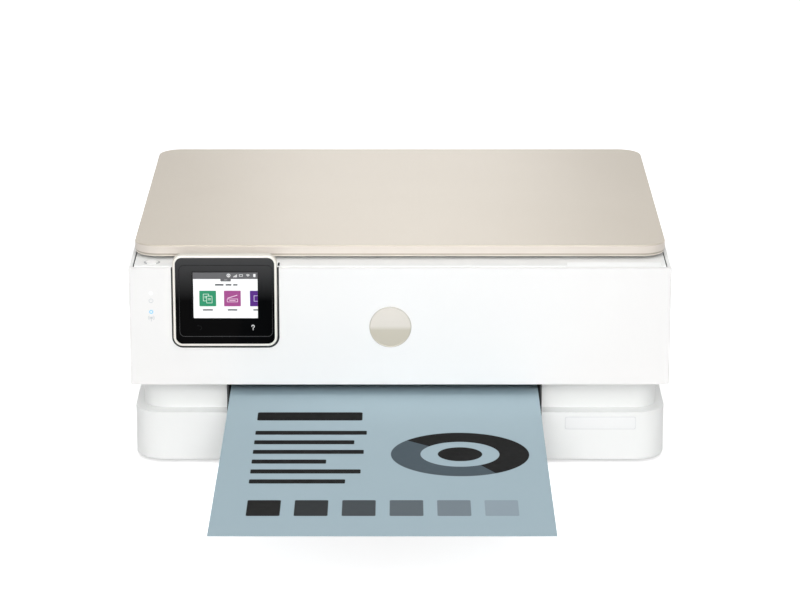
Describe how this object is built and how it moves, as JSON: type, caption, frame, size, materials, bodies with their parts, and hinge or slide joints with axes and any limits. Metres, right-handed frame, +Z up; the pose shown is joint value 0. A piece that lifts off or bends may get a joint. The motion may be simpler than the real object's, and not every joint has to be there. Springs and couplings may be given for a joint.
{
  "type": "inkjet printer",
  "caption": "All-in-one desktop inkjet printer: white shell on a rounded base, champagne scanner lid, tilting touch panel, sliding paper tray and a printed sheet on its tray extension.",
  "frame": {"origin": "centre of the bounding box on the table plane", "axes": "+Z up, -Y towards the front where paper comes out, +X to the right seen from the front"},
  "size_m": [0.46, 0.744, 0.191],
  "materials": {
    "white_plastic": "satin",
    "champagne_plastic": "metallic satin",
    "dark_plastic": "matt",
    "grey_plastic": "matt",
    "black_gloss": "gloss",
    "display_face": "gloss",
    "light_pipe": "clear",
    "scanner_glass": "clear",
    "white_foam": "matt",
    "steel": "brushed",
    "rubber": "matt",
    "paper": "matt",
    "printed_paper": "satin",
    "circuit_board": "satin"
  },
  "bodies": {
    "root": {"base_housing": "white_plastic", "rubber_feet": "rubber", "body_shell": "white_plastic", "front_panel": "white_plastic", "status_lights": "light_pipe", "output_bay": "dark_plastic", "power_inlet": "dark_plastic", "usb_port": "steel", "module_hinge_brackets": "grey_plastic", "panel_bracket": "dark_plastic", "chassis_left": "steel", "chassis_right": "steel", "carriage_rod": "steel", "carriage_beam": "steel", "platen": "dark_plastic", "carriage_belt": "rubber", "carriage_motor": "steel", "feed_motor": "steel", "drive_belts": "rubber", "service_station": "dark_plastic", "main_board": "circuit_board", "power_supply": "grey_plastic"},
    "scanner": {"scanner_top_frame": "white_plastic", "scanner_base": "white_plastic", "scanner_glass": "scanner_glass", "scan_rod": "steel", "lid_hinge_brackets": "grey_plastic"},
    "lid": {"scanner_lid": "champagne_plastic", "lid_inner_panel": "white_plastic", "lid_pad": "white_foam"},
    "scan_head": {"scan_bar": "dark_plastic"},
    "button": {"power_button": "white_plastic"},
    "panel": {"panel_housing": "champagne_plastic", "touch_glass": "black_gloss", "display": "display_face", "panel_hinge_pins": "steel"},
    "tray": {"paper_tray": "dark_plastic", "tray_front": "white_plastic", "output_tray": "dark_plastic", "paper_stack": "paper"},
    "photo": {"photo_tray": "dark_plastic"},
    "guide_left": {"paper_guide_left": "grey_plastic"},
    "guide_right": {"paper_guide_right": "grey_plastic"},
    "sheet": {"printed_sheet": "printed_paper"},
    "extension": {"tray_extension": "dark_plastic"},
    "carriage": {"carriage": "dark_plastic", "black_cartridge": "dark_plastic", "color_cartridge": "dark_plastic"},
    "motor_pulley": {"motor_pulley": "grey_plastic"},
    "idler_pulley": {"idler_pulley": "grey_plastic"},
    "feed": {"feed_roller": "rubber", "feed_pulley": "grey_plastic"},
    "eject": {"eject_roller": "rubber", "eject_pulley": "grey_plastic"},
    "pinch": {"pinch_rollers": "rubber"},
    "stars": {"star_wheels": "steel"},
    "feed_motor_pulley": {"feed_motor_pulley": "grey_plastic"},
    "pickup_arm": {"pickup_arm": "dark_plastic"},
    "pickup_roller": {"pickup_roller": "rubber"},
    "rear_door": {"rear_access_door": "white_plastic"}
  },
  "joints": [
    {"name": "scanner_lift", "type": "hinge", "parent": "root", "child": "scanner", "pos_m": [0, 0.362, 0.1461], "axis": [-1, 0, 0], "range_deg": [0, 35]},
    {"name": "lid_open", "type": "hinge", "parent": "scanner", "child": "lid", "pos_m": [0, 0.3592, 0.1854], "axis": [-1, 0, 0], "range_deg": [0, 80]},
    {"name": "panel_tilt", "type": "hinge", "parent": "root", "child": "panel", "pos_m": [-0.14835, -0.0102, 0.1867], "axis": [-1, 0, 0], "range_deg": [0, 45]},
    {"name": "power_press", "type": "slide", "parent": "scanner", "child": "button", "axis": [0, 0, -1], "range_m": [0, 0.0012], "stiffness_N_per_m": 400, "springref_m": -0.0008},
    {"name": "tray_slide", "type": "slide", "parent": "root", "child": "tray", "axis": [0, -1, 0], "range_m": [0, 0.2]},
    {"name": "photo_slide", "type": "slide", "parent": "tray", "child": "photo", "axis": [0, -1, 0], "range_m": [0, 0.08]},
    {"name": "guide_left_slide", "type": "slide", "parent": "tray", "child": "guide_left", "axis": [-1, 0, 0], "range_m": [0, 0.012]},
    {"name": "guide_right_slide", "type": "slide", "parent": "tray", "child": "guide_right", "axis": [1, 0, 0], "range_m": [0, 0.012]},
    {"name": "sheet_pull", "type": "slide", "parent": "tray", "child": "sheet", "axis": [0, -1, 0], "range_m": [0, 0.075]},
    {"name": "extension_slide", "type": "slide", "parent": "tray", "child": "extension", "axis": [0, 1, 0], "range_m": [0, 0.28]},
    {"name": "carriage_slide", "type": "slide", "parent": "root", "child": "carriage", "axis": [-1, 0, 0], "range_m": [0, 0.301]},
    {"name": "motor_pulley_spin", "type": "hinge", "parent": "root", "child": "motor_pulley", "pos_m": [-0.1694, 0.181, 0.1191], "axis": [0, 1, 0], "range_deg": [-20, 2609]},
    {"name": "idler_pulley_spin", "type": "hinge", "parent": "root", "child": "idler_pulley", "pos_m": [0.1934, 0.181, 0.1191], "axis": [0, 1, 0], "range_deg": [-20, 2609]},
    {"name": "feed_spin", "type": "hinge", "parent": "root", "child": "feed", "pos_m": [0, 0.155, 0.0599], "axis": [1, 0, 0], "continuous": true},
    {"name": "eject_spin", "type": "hinge", "parent": "root", "child": "eject", "pos_m": [0, 0.085, 0.0599], "axis": [1, 0, 0], "continuous": true},
    {"name": "feed_motor_spin", "type": "hinge", "parent": "root", "child": "feed_motor_pulley", "pos_m": [0, 0.207, 0.0599], "axis": [1, 0, 0], "continuous": true},
    {"name": "pinch_spin", "type": "hinge", "parent": "root", "child": "pinch", "pos_m": [0, 0.155, 0.0705], "axis": [1, 0, 0], "continuous": true},
    {"name": "star_spin", "type": "hinge", "parent": "root", "child": "stars", "pos_m": [0, 0.085, 0.0705], "axis": [1, 0, 0], "continuous": true},
    {"name": "pickup_swing", "type": "hinge", "parent": "root", "child": "pickup_arm", "pos_m": [-0.0134, 0.239, 0.052], "axis": [-1, 0, 0], "range_deg": [0, 15]},
    {"name": "pickup_spin", "type": "hinge", "parent": "pickup_arm", "child": "pickup_roller", "pos_m": [-0.0134, 0.201, 0.02355], "axis": [1, 0, 0], "continuous": true},
    {"name": "rear_door_open", "type": "hinge", "parent": "root", "child": "rear_door", "pos_m": [-0.0134, 0.3705, 0.0851], "axis": [-1, 0, 0], "range_deg": [0, 80]},
    {"name": "scan_slide", "type": "slide", "parent": "scanner", "child": "scan_head", "axis": [1, 0, 0], "range_m": [0, 0.27]}
  ],
  "couplings": [
    {"joint": "guide_right_slide", "follows": "guide_left_slide", "ratio": 1},
    {"joint": "motor_pulley_spin", "follows": "carriage_slide", "rad_per_m": 150.15},
    {"joint": "idler_pulley_spin", "follows": "carriage_slide", "rad_per_m": 150.15},
    {"joint": "eject_spin", "follows": "feed_spin", "ratio": 1},
    {"joint": "feed_motor_spin", "follows": "feed_spin", "ratio": 2.7668},
    {"joint": "pinch_spin", "follows": "feed_spin", "ratio": -1.4},
    {"joint": "star_spin", "follows": "feed_spin", "ratio": -1.4},
    {"joint": "pickup_spin", "follows": "feed_spin", "ratio": 0.6222}
  ]
}
